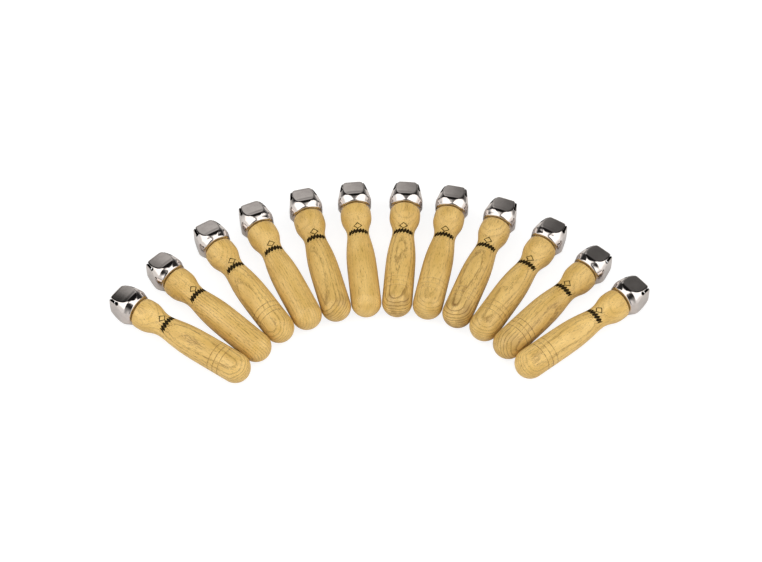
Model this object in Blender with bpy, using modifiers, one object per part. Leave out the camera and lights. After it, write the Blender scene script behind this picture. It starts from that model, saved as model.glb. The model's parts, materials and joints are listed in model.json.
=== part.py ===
"""A set of twelve hand-held sleigh bells, lying side by side in a fan on a table.

Each one is a turned wooden handle with a pressed sleigh bell screwed to its end. The bell is one
sheet-metal cup whose four petals are folded in to a rounded square, with a loose steel pellet inside.
Every hand bell is built in its own frame: the origin is on its axis, in the plane where the
handle ends and the bell begins, +Z runs to the bell's tip, and +Y is up when it lies on the table.
"""

import math

import bmesh
import bpy
from mathutils import Matrix, Vector

MM = 0.001
GAP = 0.3 * MM  # left between pieces that touch

# The fan
COUNT = 12
FAN_RADIUS = 132.4 * MM  # from the fan's centre to the middle of each rounded butt
FAN_STEP = math.radians(10.25)  # neighbouring butts then almost touch
FAN_TURN = math.radians(0.85)  # the whole fan, turned a little to the left
LEANS_DEG = (-1.9, -1.1, -3.5, -1.7, -1.5, -0.4, -0.3, 2.3, 3.4, 2.8, 2.3, 3.8)  # off its radius
LAID_OFF_MM = (  # how far each one was laid off the even fan: outwards, and to the right
    (-0.9, -0.6),
    (-0.8, 0.1),
    (1.3, 0.6),
    (1.0, 0.65),
    (0.3, 0.3),
    (-0.1, 0.05),
    (-0.4, 0.0),
    (1.1, -0.3),
    (0.9, -0.25),
    (0.1, -0.4),
    (-1.6, -0.1),
    (-1.2, 0.3),
)

# The handle
BUTT_RADIUS = 11.6 * MM
BUTT_CENTRE = -91.0 * MM
RIM_RADIUS = 10.0 * MM  # of the dish that the bell sits in
RIM_PLACE = -1.0 * MM
ROUND_STEPS = 16  # facets round every turned piece, and round the bell
BUTT_ARC_STEPS = 3
HANDLE_SIDE_MM = (  # distance from the origin and radius, from the bell end to the butt
    (-1.2, 11.0),
    (-3.2, 11.85),
    (-9.5, 11.95),
    (-14.5, 10.8),
    (-20.0, 9.0),
    (-25.0, 8.6),
    (-32.5, 9.45),
    (-46.0, 11.15),
)

# The bell
SHEET = 0.8 * MM
BASE_HOLE_RADIUS = 1.6 * MM
BASE_RADIUS = 4.6 * MM  # of the flat in the middle of the bell's round back
BASE_DEPTH = 2.2 * MM  # how far that back sits in the dish turned into the handle
CUP_RADIUS = 13.1 * MM
CUP_PLACE = 6.6 * MM  # of its widest ring
BELL_TIP = 22.3 * MM
BELL_RINGS_MM = (  # distance from the origin, half width and squareness (2 is a circle)
    (-BASE_DEPTH / MM, BASE_HOLE_RADIUS / MM, 2.0),
    (-BASE_DEPTH / MM, BASE_RADIUS / MM, 2.0),
    (0.4, 10.6, 2.0),
    (CUP_PLACE / MM, CUP_RADIUS / MM, 2.0),
    (11.5, 12.4, 3.2),
    (20.6, 9.2, 4.6),
    (BELL_TIP / MM, 6.8, 4.0),
)
SLOT_WIDTH = 1.7 * MM
SLOT_START = 13.0 * MM
SLOT_END_RADIUS = 1.5 * MM
SLOT_END_STEPS = 8

# The screw that holds the bell on, and the pellet inside it
SCREW_RADIUS = 1.2 * MM
SCREW_HEAD_RADIUS = 2.9 * MM
SCREW_HEAD_HEIGHT = 1.9 * MM
SCREW_LENGTH = 14.0 * MM
SCREW_POINT = 3.0 * MM
SCREW_STEPS = 8
DRIVER_SLOT_WIDTH = 0.8 * MM
DRIVER_SLOT_DEPTH = 0.9 * MM
PELLET_RADIUS = 3.5 * MM
PELLET_PLACE = 7.0 * MM


def clear_scene():
    for item in list(bpy.data.objects):
        bpy.data.objects.remove(item, do_unlink=True)


def new_collection(name, parent=None):
    collection = bpy.data.collections.new(name)
    (parent or bpy.context.scene.collection).children.link(collection)
    return collection


def new_material(name, colour, roughness, metallic):
    material = bpy.data.materials.new(name)
    material.use_nodes = True
    shader = material.node_tree.nodes["Principled BSDF"]
    shader.inputs["Base Color"].default_value = (*colour, 1.0)
    shader.inputs["Roughness"].default_value = roughness
    shader.inputs["Metallic"].default_value = metallic
    return material


def new_object(name, mesh, collection):
    item = bpy.data.objects.new(name, mesh)
    collection.objects.link(item)
    return item


def evaluated_mesh(item, name):
    """The object's mesh with its modifiers applied, as one mesh that copies can share."""
    graph = bpy.context.evaluated_depsgraph_get()
    mesh = bpy.data.meshes.new_from_object(item.evaluated_get(graph))
    mesh.name = name
    bpy.data.objects.remove(item, do_unlink=True)
    return mesh


def turned(name, outline, steps, collection):
    """A solid of revolution about Z from (radius, z) points, with a Screw modifier."""
    mesh = bpy.data.meshes.new(name)
    points = [(radius, 0.0, z) for radius, z in outline]
    mesh.from_pydata(points, [(i, i + 1) for i in range(len(points) - 1)], [])
    item = new_object(name, mesh, collection)
    screw = item.modifiers.new("Turned", "SCREW")
    screw.steps = steps
    screw.render_steps = steps
    screw.use_merge_vertices = True
    screw.merge_threshold = 0.01 * MM
    return item


def box_mesh(name, low, high):
    mesh = bpy.data.meshes.new(name)
    shape = bmesh.new()
    bmesh.ops.create_cube(shape, size=1.0)
    size = Vector(high) - Vector(low)
    middle = (Vector(high) + Vector(low)) / 2
    fit = Matrix.Translation(middle) @ Matrix.Diagonal((*size, 1.0))
    bmesh.ops.transform(shape, matrix=fit, verts=shape.verts)
    shape.to_mesh(mesh)
    shape.free()
    return mesh


def new_cutter(name, mesh, cutters, turn=0.0):
    cutter = new_object(name, mesh, cutters)
    cutter.rotation_euler.z = turn
    cutter.hide_render = True
    cutter.display_type = "WIRE"
    return cutter


def cut(item, cutters):
    """Cuts everything in the cutters' collection out of the object at once."""
    boolean = item.modifiers.new("Cuts", "BOOLEAN")
    boolean.operation = "DIFFERENCE"
    boolean.solver = "EXACT"
    boolean.operand_type = "COLLECTION"
    boolean.collection = cutters


def smooth(mesh, angle_deg):
    mesh.shade_smooth()
    mesh.set_sharp_from_angle(angle=math.radians(angle_deg))


def ring_points(distance, half_width, squareness, steps):
    """Points of a rounded square: |x|^n + |y|^n = half_width^n, which is a circle where n is 2."""
    for step in range(steps):
        angle = 2 * math.pi * step / steps
        x, y = math.cos(angle), math.sin(angle)
        reach = half_width / (abs(x) ** squareness + abs(y) ** squareness) ** (1 / squareness)
        yield x * reach, y * reach, distance


def bell_surface(steps):
    """The bell's outer face as one open loft, from the hole in its base to its flat tip."""
    shape = bmesh.new()
    rings = []
    for distance, half_width, squareness in BELL_RINGS_MM:
        points = ring_points(distance * MM, half_width * MM, squareness, steps)
        rings.append([shape.verts.new(point) for point in points])
    for lower, upper in zip(rings, rings[1:]):
        for i in range(steps):
            j = (i + 1) % steps
            shape.faces.new((lower[i], lower[j], upper[j], upper[i]))
    shape.faces.new(rings[-1])
    mesh = bpy.data.meshes.new("bell_surface")
    shape.to_mesh(mesh)
    shape.free()
    return mesh


def bell_shell_mesh(parts, cutters):
    """The sheet-metal cup, cut by two crossed slots that end in round holes."""
    shell = new_object("bell_shell_pattern", bell_surface(ROUND_STEPS), parts)
    sheet = shell.modifiers.new("Sheet", "SOLIDIFY")
    sheet.thickness = SHEET
    sheet.offset = -1.0
    reach = 2 * CUP_RADIUS
    slot_low = (-reach, -SLOT_WIDTH / 2, SLOT_START - SLOT_END_RADIUS / 3)
    slot_high = (reach, SLOT_WIDTH / 2, BELL_TIP + CUP_RADIUS)
    slot_cutters = new_collection("slot_cutters", cutters)
    for number, turn in enumerate((math.pi / 4, -math.pi / 4), start=1):
        slot = box_mesh("slot_cutter", slot_low, slot_high)
        new_cutter(f"slot_cutter_{number}", slot, slot_cutters, turn)
        new_cutter(f"slot_end_cutter_{number}", slot_end_mesh(2 * reach), slot_cutters, turn)
    cut(shell, slot_cutters)
    bpy.context.view_layer.update()
    mesh = evaluated_mesh(shell, "bell_shell")
    smooth(mesh, 35)
    return mesh


def slot_end_mesh(length):
    """A round bar through the bell at the slots' lower ends."""
    shape = bmesh.new()
    lie_down = Matrix.Rotation(math.pi / 2, 4, "Y")
    flat_side_up = Matrix.Rotation(math.pi / SLOT_END_STEPS, 4, "Z")
    bmesh.ops.create_cone(
        shape,
        cap_ends=True,
        segments=SLOT_END_STEPS,
        radius1=SLOT_END_RADIUS,
        radius2=SLOT_END_RADIUS,
        depth=length,
        matrix=Matrix.Translation((0, 0, SLOT_START)) @ lie_down @ flat_side_up,
    )
    mesh = bpy.data.meshes.new("slot_end_cutter")
    shape.to_mesh(mesh)
    shape.free()
    return mesh


def handle_mesh(parts):
    """The turned handle: pilot hole, dish, head, neck, grip and rounded butt."""
    pilot_radius = SCREW_RADIUS + GAP
    pilot_bottom = -BASE_DEPTH + SHEET + GAP - SCREW_LENGTH - GAP
    dish_floor = -BASE_DEPTH - GAP
    outline = [(0.0, pilot_bottom), (pilot_radius, pilot_bottom), (pilot_radius, dish_floor)]
    outline += [(BASE_RADIUS, dish_floor), (RIM_RADIUS, RIM_PLACE)]
    outline += [(radius * MM, z * MM) for z, radius in HANDLE_SIDE_MM]
    for step in range(BUTT_ARC_STEPS + 1):
        angle = math.pi / 2 * step / BUTT_ARC_STEPS
        radius = BUTT_RADIUS * math.cos(angle)
        outline.append((max(radius, 0.0), BUTT_CENTRE - BUTT_RADIUS * math.sin(angle)))
    outline[-1] = (0.0, BUTT_CENTRE - BUTT_RADIUS)
    mesh = evaluated_mesh(turned("handle_pattern", outline, ROUND_STEPS, parts), "handle")
    smooth(mesh, 50)
    return mesh


def screw_mesh(parts, cutters):
    """A pan-head wood screw, its head inside the bell and its point in the handle."""
    seat = -BASE_DEPTH + SHEET + GAP
    top = seat + SCREW_HEAD_HEIGHT
    tip = seat - SCREW_LENGTH
    outline = (
        (0.0, top),
        (0.75 * SCREW_HEAD_RADIUS, top - 0.15 * SCREW_HEAD_HEIGHT),
        (SCREW_HEAD_RADIUS, top - 0.6 * SCREW_HEAD_HEIGHT),
        (SCREW_HEAD_RADIUS, seat),
        (SCREW_RADIUS, seat),
        (SCREW_RADIUS, tip + SCREW_POINT),
        (0.0, tip),
    )
    screw = turned("screw_pattern", outline, SCREW_STEPS, parts)
    low = (-2 * SCREW_HEAD_RADIUS, -DRIVER_SLOT_WIDTH / 2, top - DRIVER_SLOT_DEPTH)
    high = (2 * SCREW_HEAD_RADIUS, DRIVER_SLOT_WIDTH / 2, top + SCREW_HEAD_HEIGHT)
    driver_cutters = new_collection("driver_slot_cutters", cutters)
    new_cutter("driver_slot_cutter", box_mesh("driver_slot_cutter", low, high), driver_cutters)
    cut(screw, driver_cutters)
    bpy.context.view_layer.update()
    mesh = evaluated_mesh(screw, "fixing_screw")
    smooth(mesh, 40)
    return mesh


def pellet_mesh():
    mesh = bpy.data.meshes.new("pellet")
    shape = bmesh.new()
    bmesh.ops.create_icosphere(shape, subdivisions=2, radius=PELLET_RADIUS)
    shape.to_mesh(mesh)
    shape.free()
    mesh.shade_smooth()
    return mesh


def hand_bell_frame(index, parent, collection):
    """An empty on one hand bell's axis, where its handle ends and its bell begins."""
    turn = FAN_TURN + ((COUNT - 1) / 2 - index) * FAN_STEP
    heading = turn + math.radians(LEANS_DEG[index])
    # The bell's cup is wider than the butt, so the axis rises until both touch the table.
    rise = math.asin((CUP_RADIUS - BUTT_RADIUS) / (CUP_PLACE - BUTT_CENTRE))
    along = Vector((-math.sin(heading), math.cos(heading), math.tan(rise))).normalized()
    across = Vector((0, 0, 1)).cross(along).normalized()
    up = along.cross(across)
    outwards = Vector((-math.sin(turn), math.cos(turn), 0.0))
    rightwards = Vector((math.cos(turn), math.sin(turn), 0.0))
    out, right = LAID_OFF_MM[index]
    butt = outwards * (FAN_RADIUS + out * MM) + rightwards * right * MM
    butt.z = BUTT_RADIUS
    frame = bpy.data.objects.new(f"hand_bell_{index + 1:02d}", None)
    frame.empty_display_size = 0.02
    collection.objects.link(frame)
    frame.parent = parent
    frame.location = butt - along * BUTT_CENTRE
    frame.rotation_euler = Matrix((across, up, along)).transposed().to_euler()
    return frame


def centre_on_origin(fan, parts):
    """Moves the fan so that the middle of its footprint is at the origin, on the table."""
    bpy.context.view_layer.update()
    places = [
        item.matrix_world @ vertex.co
        for item in parts.objects
        if item.type == "MESH"
        for vertex in item.data.vertices
    ]
    low = Vector(min(place[i] for place in places) for i in range(3))
    high = Vector(max(place[i] for place in places) for i in range(3))
    fan.location = (-(low.x + high.x) / 2, -(low.y + high.y) / 2, -low.z)
    bpy.context.view_layer.update()


def build():
    clear_scene()
    parts = new_collection("sleigh_bells")
    cutters = new_collection("cutters")

    shapes = {
        "handle": handle_mesh(parts),
        "bell_shell": bell_shell_mesh(parts, cutters),
        "fixing_screw": screw_mesh(parts, cutters),
        "pellet": pellet_mesh(),
    }
    finishes = {
        "handle": new_material("lacquered_beech", (0.72, 0.47, 0.17), 0.38, 0.0),
        "bell_shell": new_material("nickel_plate", (0.66, 0.64, 0.62), 0.12, 1.0),
        "fixing_screw": new_material("zinc_plate", (0.62, 0.62, 0.60), 0.35, 1.0),
        "pellet": new_material("steel_ball", (0.45, 0.44, 0.43), 0.25, 1.0),
    }
    for kind, mesh in shapes.items():
        mesh.materials.clear()
        mesh.materials.append(finishes[kind])

    fan = bpy.data.objects.new("fan", None)
    parts.objects.link(fan)
    for index in range(COUNT):
        frame = hand_bell_frame(index, fan, parts)
        for kind, mesh in shapes.items():
            piece = new_object(f"{kind}_{index + 1:02d}", mesh, parts)
            piece.parent = frame
            if kind == "pellet":  # it lies at the bottom of the cup
                drop = CUP_RADIUS - SHEET - PELLET_RADIUS - 2 * GAP
                piece.location = (0.0, -drop, PELLET_PLACE)
    centre_on_origin(fan, parts)


build()
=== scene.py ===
import json
import math
from collections import namedtuple

import bmesh
import bpy
import numpy as np
from mathutils import Matrix, Vector, noise

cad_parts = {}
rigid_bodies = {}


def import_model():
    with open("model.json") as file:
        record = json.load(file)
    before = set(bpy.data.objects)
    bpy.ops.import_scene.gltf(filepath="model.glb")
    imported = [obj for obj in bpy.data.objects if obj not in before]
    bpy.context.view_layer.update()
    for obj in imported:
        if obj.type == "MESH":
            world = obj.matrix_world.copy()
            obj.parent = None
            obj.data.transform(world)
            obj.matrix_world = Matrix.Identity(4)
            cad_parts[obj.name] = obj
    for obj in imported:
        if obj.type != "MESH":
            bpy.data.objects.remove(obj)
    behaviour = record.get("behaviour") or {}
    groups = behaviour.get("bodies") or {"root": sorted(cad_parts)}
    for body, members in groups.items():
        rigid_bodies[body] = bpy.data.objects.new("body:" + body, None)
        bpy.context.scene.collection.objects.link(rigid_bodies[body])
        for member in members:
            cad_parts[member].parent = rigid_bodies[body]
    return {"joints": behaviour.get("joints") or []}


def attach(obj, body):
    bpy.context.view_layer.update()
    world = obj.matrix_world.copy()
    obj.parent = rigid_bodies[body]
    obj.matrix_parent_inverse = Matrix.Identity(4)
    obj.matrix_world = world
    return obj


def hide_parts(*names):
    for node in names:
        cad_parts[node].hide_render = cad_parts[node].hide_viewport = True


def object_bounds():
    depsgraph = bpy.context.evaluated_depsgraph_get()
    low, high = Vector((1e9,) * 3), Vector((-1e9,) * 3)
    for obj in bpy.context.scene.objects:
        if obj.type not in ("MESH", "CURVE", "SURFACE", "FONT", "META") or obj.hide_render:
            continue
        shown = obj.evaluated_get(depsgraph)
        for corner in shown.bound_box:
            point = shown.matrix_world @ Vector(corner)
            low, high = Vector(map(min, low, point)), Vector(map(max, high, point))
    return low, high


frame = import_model()
cad_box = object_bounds()

MM = 0.001
GAP = 0.3  # what the hidden pieces inside the bell keep between them

# Every hand bell is modelled in its own frame, in millimetres: the origin is on its axis, in the
# plane where the handle ends and the bell begins, +Z runs to the bell's tip, and +Y is up as it lies
# on the table.

# The handle's outer side: distance from the origin and radius
HANDLE_SIDE = (
    (-2.9, 11.76),
    (-4.0, 11.92),
    (-6.3, 12.0),
    (-9.5, 11.95),
    (-12.0, 11.6),
    (-14.6, 10.8),
    (-17.4, 9.8),
    (-20.6, 8.95),
    (-24.3, 8.6),
    (-28.3, 8.85),
    (-32.5, 9.45),
    (-38.0, 10.25),
    (-44.0, 10.9),
    (-50.0, 11.3),
    (-57.0, 11.5),
    (-66.0, 11.58),
    (-84.0, 11.6),
)
BUTT_RADIUS = 11.6
BUTT_CENTRE = -91.0
BUTT_STEPS = 20
GROOVES = (-73.5, -78.0, -82.4)  # three fine lines turned round the grip
GROOVE_HALF_WIDTH = 0.4
GROOVE_DEPTH = 0.2
GROOVE_STEPS = 4  # on each side of its middle
HANDLE_STEP = 0.9  # between the rings of the handle's mesh
HANDLE_SEGMENTS = 96
PILOT_HOLE_RADIUS = 1.5
# The handle's end, from the screw's hole outwards: radius and distance from the origin
DISH = ((1.5, -2.5), (4.6, -2.5), (6.8, -2.4), (8.9, -1.95), (10.2, -1.56), (10.7, -1.42))
RIM = ((10.85, -1.4), (11.1, -1.52), (11.4, -1.9), (11.62, -2.35))

# The bell: distance from the origin, then its half widths across the flats and the corners
BACK_DEPTH = 2.2
BASE_HOLE_RADIUS = 1.6
BASE_RINGS = (BASE_HOLE_RADIUS, 2.6, 3.6)
CUP_RADIUS = 13.1
BELL_SIDE = (
    (-2.2, 4.6, 4.6),
    (-1.95, 6.2, 6.2),
    (-1.35, 8.1, 8.1),
    (-0.65, 9.6, 9.6),
    (-0.2, 10.6, 10.6),
    (0.15, 11.35, 11.35),
    (0.45, 11.85, 11.85),
    (0.95, 12.2, 12.22),
    (1.9, 12.5, 12.58),
    (3.1, 12.8, 13.05),
    (4.3, 13.02, 13.6),
    (5.2, 13.1, 13.95),
    (6.0, 13.08, 14.12),
    (6.8, 12.98, 14.18),
    (7.4, 12.83, 14.2),
    (8.0, 12.62, 14.2),
    (9.5, 12.14, 14.15),
    (11.5, 11.65, 14.0),
    (14.0, 11.0, 13.6),
    (17.0, 10.22, 12.8),
    (19.4, 9.6, 11.9),
    (20.7, 9.2, 11.2),
    (21.5, 8.7, 10.4),
    (22.0, 8.0, 9.5),
    (22.25, 7.0, 8.3),
    (22.32, 5.5, 6.5),
    (22.34, 3.5, 4.1),
    (22.34, 1.7, 2.0),
)
BELL_SHOULDER = 20.7  # from here on the side turns in to the tip
BELL_STEP = 0.42  # between the rows of the bell's mesh
EDGE_SOFTNESS = 0.35
FLAT_CROWN_RADIUS = 110.0  # the flats bulge a little
SHEET = 0.6
CUT_EDGE_SOFTNESS = 0.12
SLOT_HALF_WIDTH = 1.0
SLOT_START = 13.0  # the middle of the round hole that the slot starts from
SLOT_END_RADIUS = 1.5
SLOT_HOLE_STEPS = 22
PETAL_COLUMNS = 40

SCREW_CORE_RADIUS = 0.95
SCREW_CREST_RADIUS = 1.4
SCREW_PITCH = 1.3
SCREW_LENGTH = 14.0
SCREW_TAPER = 3.2  # the length of its point
SCREW_SEGMENTS = 32
THREAD_STEP = 0.13
SCREW_HEAD_RADIUS = 2.9
SCREW_HEAD_HEIGHT = 1.9
SCREW_HEAD_STEPS = 8
DRIVER_SLOT = (0.8, 0.9)  # width and depth
PELLET_RADIUS = 3.5
PELLET_PLACE = 7.0

# How each handle was cut from the board: the side its growth rings are centred on, how far the ring
# lines lean along the handle, the rings' contrast, its tone, how dark its turned lines are and how
# stained its butt is
HandleCut = namedtuple("HandleCut", "ring_side lean contrast tone groove_dark butt_stain")
HANDLE_CUTS = (
    HandleCut(196, 2.4, 1.0, 1.04, 0.9, 0.2),
    HandleCut(95, 0.7, 0.9, 1.02, 0.0, 0.0),
    HandleCut(222, 1.2, 0.9, 1.02, 0.9, 0.1),
    HandleCut(75, 0.6, 0.5, 0.99, 0.0, 0.1),
    HandleCut(215, 1.9, 0.8, 0.96, 0.0, 0.7),
    HandleCut(60, 0.5, 0.25, 0.99, 0.0, 0.0),
    HandleCut(182, 1.6, 1.0, 0.98, 0.25, 0.8),
    HandleCut(172, 2.1, 0.6, 0.96, 0.35, 0.2),
    HandleCut(186, 2.6, 1.1, 0.93, 0.35, 1.0),
    HandleCut(176, 1.9, 0.9, 0.97, 0.6, 0.2),
    HandleCut(120, 1.3, 0.9, 0.96, 1.0, 0.6),
    HandleCut(150, 2.0, 0.8, 1.03, 0.9, 0.0),
)


# ---------------------------------------------------------------- shapes


def smooth_through(points, step):
    """Points about one step apart on a smooth curve through the given ones."""
    points = [Vector(point) for point in points]
    last = len(points) - 1
    at = [0.0]
    for start, end in zip(points, points[1:]):
        at.append(at[-1] + (end - start).length)
    slopes = []
    for i in range(len(points)):
        low, high = max(i - 1, 0), min(i + 1, last)
        slopes.append((points[high] - points[low]) / (at[high] - at[low]))
    line = []
    for i in range(last):
        span = at[i + 1] - at[i]
        count = max(1, round(span / step))
        for k in range(count):
            t = k / count
            line.append(
                points[i] * (2 * t**3 - 3 * t**2 + 1)
                + slopes[i] * span * (t**3 - 2 * t**2 + t)
                + points[i + 1] * (3 * t**2 - 2 * t**3)
                + slopes[i + 1] * span * (t**3 - t**2)
            )
    line.append(points[last])
    return line


def finished(mesh, sharp_deg):
    """Shades a mesh, and keeps each point's place in the hand bell's own frame for the materials."""
    mesh.shade_smooth()
    mesh.set_sharp_from_angle(angle=math.radians(sharp_deg))
    places = np.empty(len(mesh.vertices) * 3, np.float32)
    mesh.vertices.foreach_get("co", places)
    mesh.attributes.new("place", "FLOAT_VECTOR", "POINT").data.foreach_set("vector", places)
    return mesh


def mesh_of(name, shape):
    mesh = bpy.data.meshes.new(name)
    bmesh.ops.scale(shape, vec=(MM, MM, MM), verts=shape.verts)
    shape.to_mesh(mesh)
    shape.free()
    return mesh


def lathe(outline, segments):
    """A closed turned solid from (radius, z) points. A radius may be a function of the angle."""
    shape = bmesh.new()
    rings = []
    for radius, z in outline:
        if radius == 0:
            rings.append([shape.verts.new((0, 0, z))])
            continue
        ring = []
        for i in range(segments):
            angle = 2 * math.pi * i / segments
            reach = radius(angle) if callable(radius) else radius
            ring.append(shape.verts.new((reach * math.cos(angle), reach * math.sin(angle), z)))
        rings.append(ring)
    for upper, lower in zip(rings, rings[1:]):
        for i in range(segments):
            j = (i + 1) % segments
            corners = [upper[i % len(upper)], lower[i % len(lower)]]
            corners += [lower[j % len(lower)], upper[j % len(upper)]]
            shape.faces.new(list(dict.fromkeys(corners)))
    return shape


def evaluated(mesh, name, modifiers):
    """The mesh with the modifiers that the given function adds applied to it."""
    item = bpy.data.objects.new(name, mesh)
    bpy.context.scene.collection.objects.link(item)
    modifiers(item)
    graph = bpy.context.evaluated_depsgraph_get()
    result = bpy.data.meshes.new_from_object(item.evaluated_get(graph))
    bpy.data.objects.remove(item, do_unlink=True)
    result.name = name
    return result


def groove_shape(distance):
    """How deep a turned line is, from 0 to 1, at a distance from its middle."""
    return max(0.0, 1 - (distance / GROOVE_HALF_WIDTH) ** 2) ** 2


def handle_mesh(groove_depth):
    """The turned handle: pilot hole, dish, head, neck, grip with its turned lines, and round butt."""
    pilot_bottom = -BACK_DEPTH + SHEET - SCREW_LENGTH
    outline = [(0, pilot_bottom), (PILOT_HOLE_RADIUS, pilot_bottom)]
    outline += [(point.x, point.y) for point in smooth_through(DISH, 0.5)]
    outline += list(RIM)
    side = smooth_through([(radius, z) for z, radius in HANDLE_SIDE], 0.4)
    heights = np.array([point.y for point in side])[::-1]
    radii = np.array([point.x for point in side])[::-1]
    stops = list(np.arange(HANDLE_SIDE[0][0], BUTT_CENTRE, -HANDLE_STEP))
    for groove in GROOVES:
        stops = [stop for stop in stops if abs(stop - groove) > GROOVE_HALF_WIDTH + 0.1]
        steps = range(-GROOVE_STEPS, GROOVE_STEPS + 1)
        stops += [groove + GROOVE_HALF_WIDTH * step / GROOVE_STEPS for step in steps]
    for stop in sorted(stops, reverse=True):
        sunk = sum(groove_shape(stop - groove) for groove in GROOVES)
        radius = float(np.interp(stop, heights, radii)) - groove_depth * sunk
        outline.append((radius, float(stop)))
    for step in range(BUTT_STEPS):
        angle = math.pi / 2 * step / BUTT_STEPS
        reach = BUTT_RADIUS * math.cos(angle)
        outline.append((reach, BUTT_CENTRE - BUTT_RADIUS * math.sin(angle)))
    outline.append((0, BUTT_CENTRE - BUTT_RADIUS))
    return finished(mesh_of("turned_handle", lathe(outline, HANDLE_SEGMENTS)), 40)


def petal_reach(angle, flat, corner):
    """Distance to the edge, at an angle from a flat's middle, of a circle that four flats are cut from."""
    sideways = flat * math.tan(angle)
    plane = flat / math.cos(angle) - sideways**2 / (2 * FLAT_CROWN_RADIUS)
    blend = min(EDGE_SOFTNESS, 0.6 * (corner - flat))
    overlap = max(blend - abs(plane - corner), 0) / blend
    return min(plane, corner) - overlap**2 * blend / 4


def petal_edge_angle(flat, corner, gap):
    """The angle at which a petal's edge lies a gap away from the plane through the corners."""
    low, high = 0.0, math.pi / 4
    if gap == 0:
        return high
    for _ in range(40):
        middle = (low + high) / 2
        if petal_reach(middle, flat, corner) * math.sin(math.pi / 4 - middle) > gap:
            low = middle
        else:
            high = middle
    return low


def slot_gap(distance):
    """Half the slot's width at a distance from the handle: a round hole, then a straight slot."""
    from_hole = distance - SLOT_START
    if from_hole <= -SLOT_END_RADIUS + 1e-6:
        return 0
    if from_hole >= math.sqrt(SLOT_END_RADIUS**2 - SLOT_HALF_WIDTH**2):
        return SLOT_HALF_WIDTH
    return math.sqrt(SLOT_END_RADIUS**2 - from_hole**2)


def bell_line():
    """Stations along the bell's outer face: distance, then half widths across flats and corners."""
    dense = np.array(smooth_through(BELL_SIDE, 0.05))
    along = np.concatenate([[0], np.cumsum(np.linalg.norm(np.diff(dense, axis=0), axis=1))])
    regular = np.arange(0, along[-1], BELL_STEP)
    rising = dense[:, 0] < BELL_SHOULDER
    turns = [math.pi * step / SLOT_HOLE_STEPS for step in range(19)]
    hole = [SLOT_START - SLOT_END_RADIUS * math.cos(turn) for turn in turns]
    hole_along = np.interp(hole, dense[rising, 0], along[rising])
    keep = [a for a in regular if not hole_along[0] - 0.25 < a < hole_along[-1] + 0.25]
    stations = sorted([*keep, *hole_along, along[-1]])
    return [[float(np.interp(a, along, dense[:, i])) for i in range(3)] for a in stations]


def bell_face():
    """The bell's outer face: a round cup whose four petals close to a flat tip, with slots between."""
    shape = bmesh.new()
    base = [(-BACK_DEPTH, reach, reach) for reach in BASE_RINGS]
    rows = base + bell_line()
    for quarter in range(4):
        previous = None
        for distance, flat, corner in rows:
            corner = max(corner, flat * 1.0001)
            edge = petal_edge_angle(flat, corner, slot_gap(distance))
            row = []
            for column in range(PETAL_COLUMNS + 1):
                angle = edge * (2 * column / PETAL_COLUMNS - 1)
                reach = petal_reach(angle, flat, corner)
                turn = quarter * math.pi / 2 + angle
                row.append(shape.verts.new((reach * math.cos(turn), reach * math.sin(turn), distance)))
            for i in range(PETAL_COLUMNS if previous else 0):
                shape.faces.new((previous[i], previous[i + 1], row[i + 1], row[i]))
            previous = row
    bmesh.ops.remove_doubles(shape, verts=shape.verts, dist=1e-4)
    return mesh_of("bell_face", shape)


def note_painted_shade_faces(mesh):
    """Turns the second material slot, on the inside and the cut edges, into an attribute for the
    near-black painted shade there.
    """
    dull = [float(polygon.material_index > 0) for polygon in mesh.polygons]
    mesh.attributes.new("dull", "FLOAT", "FACE").data.foreach_set("value", dull)
    mesh.polygons.foreach_set("material_index", [0] * len(mesh.polygons))
    mesh.materials.clear()


def bell_mesh():
    """The pressed sheet-metal bell with its thickness and softened cut edges."""

    def thicken(item):
        sheet = item.modifiers.new("Sheet", "SOLIDIFY")
        sheet.thickness = SHEET * MM
        sheet.offset = -1
        sheet.material_offset = 1
        sheet.material_offset_rim = 1
        soften = item.modifiers.new("Soften", "BEVEL")
        soften.width = CUT_EDGE_SOFTNESS * MM
        soften.segments = 2
        soften.limit_method = "ANGLE"
        soften.angle_limit = math.radians(55)

    face = bell_face()
    for _ in range(2):
        face.materials.append(None)
    mesh = evaluated(face, "pressed_bell", thicken)
    # The inside and the cut edges are kept apart for the painted shade in the plate's material.
    note_painted_shade_faces(mesh)
    return finished(mesh, 50)


def thread_radius(z, taper):
    """The thread's radius as a function of the angle, at one height: a helical ridge on a core."""

    def radius(angle):
        phase = (z / SCREW_PITCH + angle / (2 * math.pi)) % 1.0
        ridge = max(0.0, 1 - abs(phase - 0.5) / 0.24)
        full = SCREW_CORE_RADIUS + (SCREW_CREST_RADIUS - SCREW_CORE_RADIUS) * ridge
        return max(0.12, full * taper)

    return radius


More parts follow.
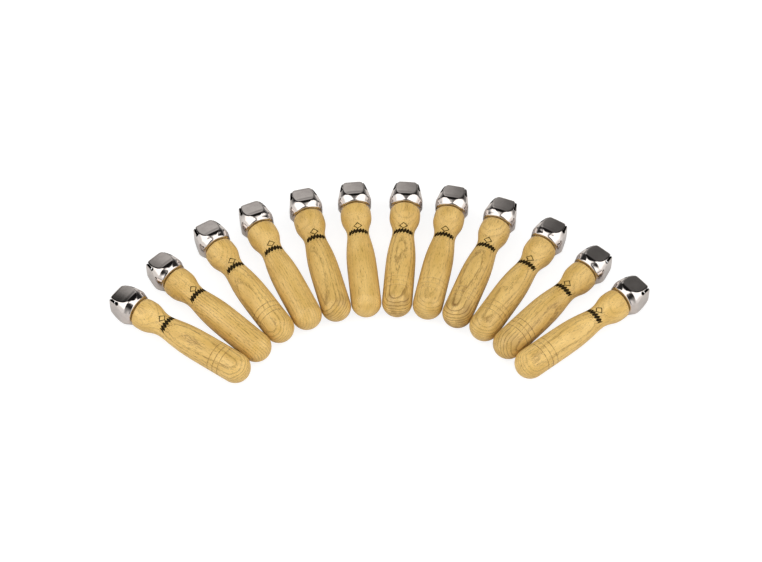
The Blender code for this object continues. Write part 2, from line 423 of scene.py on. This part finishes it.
def screw_mesh():
    """A pan-head wood screw: slotted head, helical thread and point."""
    seat = -BACK_DEPTH + SHEET + GAP
    top = seat + SCREW_HEAD_HEIGHT
    tip = seat - SCREW_LENGTH
    shoulder = SCREW_HEAD_HEIGHT * 0.45
    outline = [(0, top)]
    for step in range(1, SCREW_HEAD_STEPS + 1):
        angle = math.pi / 2 * step / SCREW_HEAD_STEPS
        reach = SCREW_HEAD_RADIUS * math.sin(angle)
        outline.append((reach, top - shoulder * (1 - math.cos(angle))))
    outline += [(SCREW_HEAD_RADIUS, seat + 0.15), (SCREW_HEAD_RADIUS - 0.15, seat), (1.15, seat)]
    outline += [(1.1, seat - 0.3), (1.1, seat - 1.6)]
    for z in np.arange(seat - 1.8, tip + 0.1, -THREAD_STEP):
        taper = min(1.0, (z - tip) / SCREW_TAPER)
        outline.append((thread_radius(z, taper), float(z)))
    outline.append((0, tip))
    blank = mesh_of("screw_blank", lathe(outline, SCREW_SEGMENTS))

    width, depth = DRIVER_SLOT
    cutter_shape = bmesh.new()
    stretch = Matrix.Diagonal((4 * SCREW_HEAD_RADIUS, width, 2 * depth, 1))
    bmesh.ops.create_cube(cutter_shape, matrix=Matrix.Translation((0, 0, top)) @ stretch)
    cutter = bpy.data.objects.new("driver_slot_cutter", mesh_of("driver_slot_cutter", cutter_shape))
    bpy.context.scene.collection.objects.link(cutter)

    def slotted(item):
        cut = item.modifiers.new("Slot", "BOOLEAN")
        cut.operation = "DIFFERENCE"
        cut.solver = "EXACT"
        cut.object = cutter

    mesh = evaluated(blank, "wood_screw", slotted)
    bpy.data.objects.remove(cutter, do_unlink=True)
    return finished(mesh, 35)


def pellet_mesh():
    """A tumbled steel ball: nearly round, with worn flats."""
    shape = bmesh.new()
    bmesh.ops.create_icosphere(shape, subdivisions=5, radius=PELLET_RADIUS)
    for vert in shape.verts:
        dent = noise.noise(vert.co * 0.9) * 0.05 + noise.noise(vert.co * 2.7) * 0.02
        vert.co *= 1 - abs(dent)
    return finished(mesh_of("steel_pellet", shape), 60)


# ---------------------------------------------------------------- materials


class Tree:
    """A short way to write a material's or a world's nodes."""

    def __init__(self, owner):
        owner.use_nodes = True
        self.tree = owner.node_tree
        self.tree.nodes.clear()

    def node(self, kind, **settings):
        made = self.tree.nodes.new(kind)
        for name, value in settings.items():
            setattr(made, name, value)
        return made

    def put(self, socket, value):
        if isinstance(value, bpy.types.NodeSocket):
            self.tree.links.new(value, socket)
        else:
            socket.default_value = value

    def math(self, operation, *values):
        made = self.node("ShaderNodeMath", operation=operation)
        for socket, value in zip(made.inputs, values):
            self.put(socket, value)
        return made.outputs[0]

    def hypotenuse(self, one, other):
        squares = [self.math("POWER", side, 2.0) for side in (one, other)]
        return self.math("SQRT", self.math("ADD", *squares))

    def vector(self, operation, *values):
        made = self.node("ShaderNodeVectorMath", operation=operation)
        for socket, value in zip(made.inputs, values):
            self.put(socket, value)
        return made.outputs["Value" if operation in ("LENGTH", "DOT_PRODUCT") else "Vector"]

    def split(self, vector):
        made = self.node("ShaderNodeSeparateXYZ")
        self.put(made.inputs[0], vector)
        return made.outputs

    def ease(self, value, low, high):
        """0 below low, 1 above high, with a smooth step between."""
        made = self.node("ShaderNodeMapRange", interpolation_type="SMOOTHSTEP")
        for socket, number in zip(made.inputs, (value, low, high)):
            self.put(socket, number)
        return made.outputs[0]

    def spread(self, value, low, high, to_low, to_high):
        made = self.node("ShaderNodeMapRange")
        for socket, number in zip(made.inputs, (value, low, high, to_low, to_high)):
            self.put(socket, number)
        return made.outputs[0]

    def noise(self, vector, scale, detail=2.0, rough=0.5, warp=0.0):
        made = self.node("ShaderNodeTexNoise")
        names = ("Vector", "Scale", "Detail", "Roughness", "Distortion")
        for name, value in zip(names, (vector, scale, detail, rough, warp)):
            self.put(made.inputs[name], value)
        return made.outputs["Fac"]

    def scaled(self, vector, factors):
        return self.vector("MULTIPLY", vector, factors)

    def mix(self, share, first, second, blend="MIX"):
        made = self.node("ShaderNodeMix", data_type="RGBA", blend_type=blend)
        for name, value in (("Factor_Float", share), ("A_Color", first), ("B_Color", second)):
            socket = next(s for s in made.inputs if s.identifier == name)
            self.put(socket, (*value, 1.0) if isinstance(value, tuple) else value)
        return next(s for s in made.outputs if s.identifier == "Result_Color")

    def bump(self, height, strength, distance, normal=None):
        made = self.node("ShaderNodeBump")
        self.put(made.inputs["Height"], height)
        self.put(made.inputs["Strength"], strength)
        self.put(made.inputs["Distance"], distance)
        if normal is not None:
            self.put(made.inputs["Normal"], normal)
        return made.outputs["Normal"]

    def surface(self, **values):
        shader = self.node("ShaderNodeBsdfPrincipled")
        for name, value in values.items():
            self.put(shader.inputs[name.replace("_", " ")], value)
        output = self.node("ShaderNodeOutputMaterial")
        self.tree.links.new(shader.outputs[0], output.inputs["Surface"])

    def shown_to_camera(self, lighting, seen, output):
        """Lights and is reflected as the first shader, and looks to the camera like the second."""
        both = self.node("ShaderNodeMixShader")
        self.put(both.inputs[0], self.node("ShaderNodeLightPath").outputs["Is Camera Ray"])
        self.put(both.inputs[1], lighting)
        self.put(both.inputs[2], seen)
        self.put(self.node(output).inputs["Surface"], both.outputs[0])

    def place(self):
        """The point's place in the hand bell's own frame, in millimetres."""
        made = self.node("ShaderNodeAttribute", attribute_name="place")
        return self.scaled(made.outputs["Vector"], (1000.0, 1000.0, 1000.0))


# The printed border, in millimetres along the handle and round it
MARK_RADIUS = 8.8
MARK_BAND = -28.0  # the leaves' distance from the origin
MARK_PITCH = 2.5
MARK_LEAVES = 7
LEAF_HEIGHT = 2.75
LEAF_SLANT = 0.32
DIAMOND_HALF_SIZE = (3.6, 3.0)
DIAMOND_RISE = 5.3
DOT_DROP = 3.6
DOT_RADIUS = 0.32
INK = (0.006, 0.005, 0.004)

# The wood's growth rings
RING_CENTRE_DISTANCE = 34
RING_SPACING = 2.0
RING_WOBBLE = 1.7
WOOD_PALE = (0.87, 0.605, 0.22)
WOOD_DEEP = (0.70, 0.455, 0.13)
WOOD_FIBRE = (0.50, 0.30, 0.08)
WOOD_LATE = (0.33, 0.18, 0.045)
WOOD_PORE = (0.19, 0.095, 0.025)
WOOD_RAY = (0.24, 0.12, 0.03)
WOOD_KNOT = (0.30, 0.17, 0.04)
WOOD_STAIN = (0.24, 0.125, 0.03)
WOOD_BURNT = (0.16, 0.075, 0.02)


def printed_ornament(tree, around, along):
    """A plain printed border: a row of slanted leaves, an open diamond above it and dots below."""
    ragged = tree.math("MULTIPLY", tree.math("SUBTRACT", tree.noise(tree.place(), 2.6), 0.5), 0.35)
    height = tree.math("SUBTRACT", along, MARK_BAND)
    slanted = tree.math("ADD", around, tree.math("MULTIPLY", height, LEAF_SLANT))
    cell = tree.math("SUBTRACT", tree.math("FRACT", tree.math("DIVIDE", slanted, MARK_PITCH)), 0.5)
    across = tree.math("MULTIPLY", tree.math("ABSOLUTE", cell), 1.8)
    tall = tree.math("DIVIDE", tree.math("ABSOLUTE", height), LEAF_HEIGHT)
    leaf = tree.math("ADD", tree.math("ADD", across, tree.math("POWER", tall, 3.0)), ragged)
    within = tree.math("LESS_THAN", tree.math("ABSOLUTE", slanted), MARK_PITCH * MARK_LEAVES / 2)
    leaves = tree.math("MULTIPLY", tree.math("LESS_THAN", leaf, 0.9), within)

    wide = tree.math("DIVIDE", tree.math("ABSOLUTE", around), DIAMOND_HALF_SIZE[0])
    above = tree.math("ABSOLUTE", tree.math("SUBTRACT", height, DIAMOND_RISE))
    rise = tree.math("DIVIDE", above, DIAMOND_HALF_SIZE[1])
    ring = tree.math("ABSOLUTE", tree.math("SUBTRACT", tree.math("ADD", wide, rise), 0.85))
    line = tree.math("LESS_THAN", tree.math("ADD", ring, ragged), 0.16)
    diamond = tree.math("MULTIPLY", line, 0.95)

    shifted = tree.math("ADD", tree.math("DIVIDE", around, MARK_PITCH), 0.5)
    dot_cell = tree.math("SUBTRACT", tree.math("FRACT", shifted), 0.5)
    dot_x = tree.math("MULTIPLY", dot_cell, MARK_PITCH)
    dot_y = tree.math("ADD", height, DOT_DROP)
    dots = tree.math("MULTIPLY", tree.math("LESS_THAN", tree.hypotenuse(dot_x, dot_y), DOT_RADIUS), within)
    return tree.math("MAXIMUM", tree.math("MAXIMUM", leaves, diamond), tree.math("MULTIPLY", dots, 0.8))


def wood_material(index):
    """Lacquered beech: growth rings, short dark rays, streaks, turned lines and the printed border."""
    cut = HANDLE_CUTS[index]
    material = bpy.data.materials.new(f"lacquered_beech_{index + 1:02d}")
    tree = Tree(material)
    place = tree.place()
    x, y, along = tree.split(place)
    seed = (index * 37.0, index * 11.0, index * 71.0)
    own = tree.vector("ADD", place, seed)

    # Growth rings are cylinders about a far-off line that leans a little along the handle.
    side = math.radians(cut.ring_side)
    centre = Vector((math.sin(side), math.cos(side))) * RING_CENTRE_DISTANCE
    wobble = tree.math("SUBTRACT", tree.noise(tree.scaled(own, (0.09, 0.09, 0.022)), 1.0, 2.0), 0.5)
    lean_x = tree.math("MULTIPLY_ADD", along, 0.01 * cut.lean * math.cos(side), -centre.x)
    lean_y = tree.math("MULTIPLY_ADD", along, 0.02 * cut.lean, -centre.y)
    ring_reach = tree.hypotenuse(tree.math("ADD", x, lean_x), tree.math("ADD", y, lean_y))
    ring_count = tree.math("DIVIDE", ring_reach, RING_SPACING)
    ring = tree.math("FRACT", tree.math("MULTIPLY_ADD", wobble, RING_WOBBLE, ring_count))
    end = tree.math("SUBTRACT", 1.0, tree.ease(ring, 0.93, 1.0))
    late = tree.math("MULTIPLY", tree.ease(ring, 0.66, 0.9), end)
    porous = tree.math("MULTIPLY", tree.ease(ring, 0.52, 0.72), end)
    faded = tree.ease(tree.noise(tree.scaled(own, (0.5, 0.5, 0.08)), 1.0, 2.0), 0.34, 0.6)
    shown = tree.spread(along, -30.0, -16.0, cut.contrast, 0.5 * cut.contrast)
    rings = tree.math("MULTIPLY", tree.math("MULTIPLY", late, faded), shown)

    streaks = tree.noise(tree.scaled(own, (1.1, 1.1, 0.05)), 1.0, 3.0, 0.6)
    clouds = tree.noise(tree.scaled(own, (0.12, 0.12, 0.035)), 1.0, 2.0)
    fibres = tree.noise(tree.scaled(own, (4.5, 4.5, 0.22)), 1.0, 2.0, 0.65)
    dashes = tree.noise(tree.scaled(own, (2.6, 2.6, 0.32)), 1.0, 1.5)
    pores = tree.math("MULTIPLY", tree.math("MULTIPLY", tree.ease(dashes, 0.5, 0.6), porous), shown)
    rays = tree.ease(tree.noise(tree.scaled(own, (2.6, 2.6, 0.28)), 1.0, 1.0), 0.62, 0.68)
    knots = tree.ease(tree.noise(tree.scaled(own, (0.35, 0.35, 0.12)), 1.0, 1.0), 0.68, 0.78)

    pale = tuple(channel * cut.tone for channel in WOOD_PALE)
    deep = tuple(channel * cut.tone for channel in WOOD_DEEP)
    colour = tree.mix(tree.ease(clouds, 0.3, 0.72), pale, deep)
    colour = tree.mix(tree.spread(streaks, 0.35, 0.7, 0.0, 0.35), colour, deep)
    colour = tree.mix(tree.spread(fibres, 0.4, 0.75, 0.0, 0.3), colour, WOOD_FIBRE)
    colour = tree.mix(tree.math("MULTIPLY", rings, 0.42), colour, WOOD_LATE)
    colour = tree.mix(tree.math("MULTIPLY", pores, 0.6), colour, WOOD_PORE)
    colour = tree.mix(tree.math("MULTIPLY", rays, 0.6), colour, WOOD_RAY)
    colour = tree.mix(tree.math("MULTIPLY", knots, 0.45), colour, WOOD_KNOT)

    low_down = tree.ease(tree.math("MULTIPLY", along, -1.0), 80.0, 93.0)
    patches = tree.ease(tree.noise(tree.scaled(own, (0.14, 0.14, 0.08)), 1.0, 2.0), 0.42, 0.62)
    banded = tree.math("MULTIPLY_ADD", late, 0.6, tree.math("MULTIPLY", patches, 0.45))
    stain = tree.math("MULTIPLY", tree.math("MULTIPLY", banded, low_down), cut.butt_stain)
    colour = tree.mix(stain, colour, WOOD_STAIN)

    lines = None
    for groove in GROOVES:
        off = tree.math("ABSOLUTE", tree.math("SUBTRACT", along, groove))
        line = tree.math("SUBTRACT", 1.0, tree.ease(off, 0.12, GROOVE_HALF_WIDTH))
        lines = line if lines is None else tree.math("ADD", lines, line)
    patchy = tree.spread(tree.noise(own, 0.45, 2.0), 0.35, 0.65, 0.35, 1.0)
    burnt = tree.math("MULTIPLY", tree.math("MULTIPLY", lines, patchy), cut.groove_dark)
    colour = tree.mix(burnt, colour, WOOD_BURNT)

    around = tree.math("MULTIPLY", tree.math("ARCTAN2", x, y), MARK_RADIUS)
    ink = printed_ornament(tree, around, along)
    colour = tree.mix(tree.math("MULTIPLY", ink, 0.97), colour, INK)

    smudge = tree.spread(tree.noise(own, 0.18, 3.0), 0.3, 0.7, 0.3, 0.44)
    roughness = tree.math("ADD", smudge, tree.math("MULTIPLY", rays, 0.15))
    bare = tree.math("SUBTRACT", 1.0, ink)
    sunk = tree.math("ADD", rays, pores)
    relief = tree.math("MULTIPLY_ADD", fibres, 0.5, tree.math("MULTIPLY", sunk, -0.8))
    normal = tree.bump(relief, 0.25, 0.00006)
    tree.surface(
        Base_Color=colour,
        Roughness=roughness,
        Normal=normal,
        Coat_Weight=tree.math("MULTIPLY", bare, 0.12),
        Coat_Roughness=0.25,
        Specular_IOR_Level=tree.math("MULTIPLY", bare, 0.3),
    )
    return material


def nickel_material():
    """Bright nickel plate with faint smudges, fine scratches and a slightly uneven skin; the inside and
    the cut edges are painted near black as shade.
    """
    material = bpy.data.materials.new("nickel_plate")
    tree = Tree(material)
    place = tree.place()
    cloud = tree.ease(tree.noise(place, 0.16, 3.0), 0.35, 0.7)
    stain = tree.ease(tree.noise(tree.vector("ADD", place, (40.0, 9.0, 3.0)), 0.5, 4.0, 0.6), 0.6, 0.75)
    colour = tree.mix(cloud, (0.70, 0.65, 0.62), (0.64, 0.585, 0.56))
    colour = tree.mix(tree.math("MULTIPLY", stain, 0.35), colour, (0.50, 0.43, 0.37))
    scratches = tree.ease(tree.noise(tree.scaled(place, (9.0, 9.0, 0.5)), 1.0, 1.0), 0.66, 0.72)
    polish = tree.spread(cloud, 0.0, 1.0, 0.05, 0.09)
    roughness = tree.math("ADD", polish, tree.math("MULTIPLY", stain, 0.07))
    roughness = tree.math("ADD", roughness, tree.math("MULTIPLY", scratches, 0.08))
    # The inside of the bell and its cut edges: painted shade, near black and rougher, so the hollow and
    # the slots read dark.
    dull = tree.node("ShaderNodeAttribute", attribute_name="dull").outputs["Fac"]
    colour = tree.mix(dull, colour, (0.035, 0.03, 0.027))
    roughness = tree.math("MULTIPLY_ADD", dull, 0.45, roughness)
    skin = tree.bump(tree.noise(place, 0.55, 1.0), 0.12, 0.0001)
    normal = tree.bump(scratches, 0.06, 0.00002, skin)
    tree.surface(Base_Color=colour, Metallic=1.0, Roughness=roughness, Normal=normal)
    return material


def zinc_material():
    """Zinc plate on the screw, with a faint straw and blue tint and turning marks."""
    material = bpy.data.materials.new("zinc_plate")
    tree = Tree(material)
    place = tree.place()
    tint = tree.noise(place, 0.5, 2.0)
    colour = tree.mix(tree.ease(tint, 0.35, 0.65), (0.66, 0.62, 0.5), (0.54, 0.57, 0.62))
    marks = tree.noise(tree.scaled(place, (0.4, 0.4, 9.0)), 1.0, 2.0)
    roughness = tree.spread(marks, 0.3, 0.7, 0.22, 0.42)
    normal = tree.bump(marks, 0.2, 0.00003)
    tree.surface(Base_Color=colour, Metallic=1.0, Roughness=roughness, Normal=normal)
    return material


def steel_material():
    """Bare tumbled steel: matt grey, with worn bright flats and small pits."""
    material = bpy.data.materials.new("tumbled_steel")
    tree = Tree(material)
    place = tree.place()
    wear = tree.ease(tree.noise(place, 0.6, 3.0), 0.4, 0.62)
    pits = tree.ease(tree.noise(place, 2.4, 2.0), 0.62, 0.72)
    colour = tree.mix(wear, (0.30, 0.29, 0.28), (0.52, 0.51, 0.50))
    colour = tree.mix(tree.math("MULTIPLY", pits, 0.5), colour, (0.16, 0.13, 0.11))
    roughness = tree.spread(wear, 0.0, 1.0, 0.45, 0.24)
    normal = tree.bump(tree.math("MULTIPLY", pits, -1.0), 0.4, 0.00008)
    tree.surface(Base_Color=colour, Metallic=1.0, Roughness=roughness, Normal=normal)
    return material


# ---------------------------------------------------------------- the hand bells


def bell_placement(joint):
    """Where a hand bell's own frame stands, from the axis that its pellet turns about."""
    along = Vector(joint["axis"]).normalized()
    across = Vector((0, 0, 1)).cross(along).normalized()
    placement = Matrix((across, along.cross(across), along)).transposed().to_4x4()
    placement.translation = Vector(joint["pos_m"])
    return placement


def add_piece(name, mesh, material, placement, body, node):
    piece = bpy.data.objects.new(name, mesh)
    bpy.context.scene.collection.objects.link(piece)
    if not mesh.materials:
        mesh.materials.append(None)
    piece.material_slots[0].link = "OBJECT"
    piece.material_slots[0].material = material
    piece.matrix_world = placement
    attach(piece, body)
    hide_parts(node)
    return piece


def add_hand_bells():
    plain, grooved = handle_mesh(0.0), handle_mesh(GROOVE_DEPTH)
    bell, screw, pellet = bell_mesh(), screw_mesh(), pellet_mesh()
    nickel, zinc, steel = nickel_material(), zinc_material(), steel_material()
    pellet_drop = CUP_RADIUS - SHEET - PELLET_RADIUS - 2 * GAP
    rolls = [joint for joint in frame["joints"] if joint["name"].startswith("pellet_roll_")]
    for joint in rolls:
        number = joint["name"][-2:]
        index = int(number) - 1
        body, pellet_body = joint["parent"], joint["child"]
        place = bell_placement(joint)
        in_cup = place @ Matrix.Translation((0, -pellet_drop * MM, PELLET_PLACE * MM))
        wood = wood_material(index)
        handle = grooved if HANDLE_CUTS[index].groove_dark else plain
        pieces = (
            ("turned_handle_", handle, wood, place, body, "handle_", "handle_wood"),
            ("pressed_bell_", bell, nickel, place, body, "bell_shell_", "bell_nickel"),
            ("wood_screw_", screw, zinc, place, body, "fixing_screw_", "screw_zinc"),
            ("steel_pellet_", pellet, steel, in_cup, pellet_body, "pellet_", "pellet_steel"),
        )
        for name, mesh, material, placement, holder, node, slot in pieces:
            add_piece(name + number, mesh, material, placement, holder, node + number)


# ---------------------------------------------------------------- stage, light and camera

FLOOR_HALF_SIZE = 4.0
FLOOR_GAP = 0.0001
ROOM_LIGHT = 0.3
BOX_LIGHT = 1.9
# The studio's panels, each laid over the ones before it: azimuth and elevation, half sizes, softness
# of the edge (all in degrees) and strength. Azimuth is from straight behind, growing to the right.
STUDIO_PANELS = (
    ((-115, 5), (46, 20), 12, 0.95),
    ((118, 5), (40, 20), 10, 1.0),
    ((-107, 52), (46, 28), 9, BOX_LIGHT),
    ((106, 50), (46, 31), 9, BOX_LIGHT),
    ((180, 50), (27, 14), 9, 0.03),
    ((3, 54), (32, 16), 3, 0.01),
    ((-45, 33), (20, 22), 7, 0.03),
    ((46, 33), (20, 22), 7, 0.03),
    ((-10, 27), (12, 9), 9, 0.62),
    ((20, 28), (9, 20), 8, 0.12),
)
CAMERA_AIM = Vector((0.00077, 0.00901, 0.0))
CAMERA_DISTANCE = 1.575
CAMERA_ELEVATION = math.radians(51.93)
CAMERA_TURN = math.radians(-0.15)
CAMERA_LENS = 96.0


def add_floor():
    """A white table. What the camera sees of it is lifted to the plain white of a studio sheet."""
    shape = bmesh.new()
    bmesh.ops.create_grid(shape, x_segments=1, y_segments=1, size=FLOOR_HALF_SIZE)
    mesh = bpy.data.meshes.new("floor")
    shape.to_mesh(mesh)
    shape.free()
    floor = bpy.data.objects.new("floor", mesh)
    bpy.context.scene.collection.objects.link(floor)
    floor.location.z = cad_box[0][2] - FLOOR_GAP
    material = bpy.data.materials.new("white_table")
    tree = Tree(material)
    table = tree.node("ShaderNodeBsdfDiffuse")
    table.inputs["Color"].default_value = (0.8, 0.79, 0.78, 1.0)
    sheet = tree.node("ShaderNodeBsdfDiffuse")
    sheet.inputs["Color"].default_value = (0.25, 0.25, 0.25, 1.0)
    glow = tree.node("ShaderNodeEmission")
    glow.inputs["Strength"].default_value = 0.86
    lifted = tree.node("ShaderNodeAddShader")
    tree.put(lifted.inputs[0], sheet.outputs[0])
    tree.put(lifted.inputs[1], glow.outputs[0])
    tree.shown_to_camera(table.outputs[0], lifted.outputs[0], "ShaderNodeOutputMaterial")
    mesh.materials.append(material)


def patch(tree, level, azimuth, elevation, place, size, edge, strength):
    """Lays a soft-edged panel over the light level."""
    sides = []
    for angle, middle, reach in zip((azimuth, elevation), place, size):
        off = tree.math("ABSOLUTE", tree.math("SUBTRACT", angle, math.radians(middle)))
        if middle == 180:
            off = tree.math("SUBTRACT", math.pi, tree.math("ABSOLUTE", azimuth))
        inner, outer = math.radians(reach - edge), math.radians(reach + edge)
        sides.append(tree.math("SUBTRACT", 1.0, tree.ease(off, inner, outer)))
    share = tree.math("MULTIPLY", *sides)
    return tree.math("MULTIPLY_ADD", share, tree.math("SUBTRACT", strength, level), level)


def add_studio_light():
    """Big soft boxes on both sides that meet overhead, a grey room behind and a dark one at the camera."""
    world = bpy.data.worlds.new("studio")
    bpy.context.scene.world = world
    tree = Tree(world)
    direction = tree.node("ShaderNodeTexCoord").outputs["Generated"]
    x, y, z = tree.split(tree.vector("NORMALIZE", direction))
    azimuth = tree.math("ARCTAN2", x, y)
    elevation = tree.math("ARCSINE", z)

    # The side boxes meet overhead, with a dark seam where x is 0.
    near_middle = tree.math("SUBTRACT", 1.0, tree.ease(tree.math("ABSOLUTE", y), 0.3, 0.44))
    high = tree.ease(z, math.sin(math.radians(48)), math.sin(math.radians(62)))
    overhead = tree.math("MULTIPLY", near_middle, high)
    seam = tree.spread(tree.math("ABSOLUTE", x), 0.03, 0.16, 0.1, 1.0)
    added = tree.math("SUBTRACT", tree.math("MULTIPLY", seam, BOX_LIGHT), ROOM_LIGHT)
    level = tree.math("MULTIPLY_ADD", overhead, added, ROOM_LIGHT)
    for place, size, edge, strength in STUDIO_PANELS:
        level = patch(tree, level, azimuth, elevation, place, size, edge, strength)

    light = tree.node("ShaderNodeBackground")
    light.inputs["Color"].default_value = (1.0, 0.985, 0.965, 1.0)
    tree.put(light.inputs["Strength"], level)
    backdrop = tree.node("ShaderNodeBackground")
    backdrop.inputs["Color"].default_value = (0.97, 0.97, 0.97, 1.0)
    tree.shown_to_camera(light.outputs[0], backdrop.outputs[0], "ShaderNodeOutputWorld")


def add_camera():
    data = bpy.data.cameras.new("camera")
    data.lens = CAMERA_LENS
    data.sensor_width = 36.0
    data.clip_start = 0.05
    camera = bpy.data.objects.new("camera", data)
    bpy.context.scene.collection.objects.link(camera)
    camera.rotation_euler = (math.pi / 2 - CAMERA_ELEVATION, 0, CAMERA_TURN)
    back = camera.rotation_euler.to_matrix().col[2]
    camera.location = CAMERA_AIM + back * CAMERA_DISTANCE
    bpy.context.scene.camera = camera


for leftover in [item for item in bpy.data.objects if item.name in ("Cube", "Light", "Camera")]:
    bpy.data.objects.remove(leftover, do_unlink=True)
add_hand_bells()
add_floor()
add_studio_light()
add_camera()
bpy.context.scene.view_settings.view_transform = "Standard"
